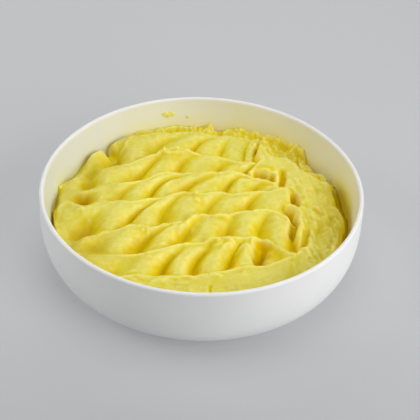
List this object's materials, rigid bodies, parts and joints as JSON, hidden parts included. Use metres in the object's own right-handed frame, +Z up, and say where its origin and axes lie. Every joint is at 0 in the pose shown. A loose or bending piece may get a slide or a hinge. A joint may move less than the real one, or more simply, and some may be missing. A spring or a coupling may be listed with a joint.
{
  "type": "mashed potato side dish",
  "caption": "Low round white serving bowl filled with yellow mashed potato swept into rows of spoon swirls.",
  "frame": {"origin": "centre of the bowl's base, on the surface it stands on", "axes": "+Z up along the bowl's axis, +Y toward the far side across the rows of swirls, +X to the right along the rows"},
  "size_m": [0.2212, 0.2212, 0.055],
  "materials": {
    "bowl": "satin white glaze",
    "mash": "soft, slightly moist"
  },
  "bodies": {
    "root": {"bowl": "bowl", "mash": "mash"}
  },
  "joints": []
}
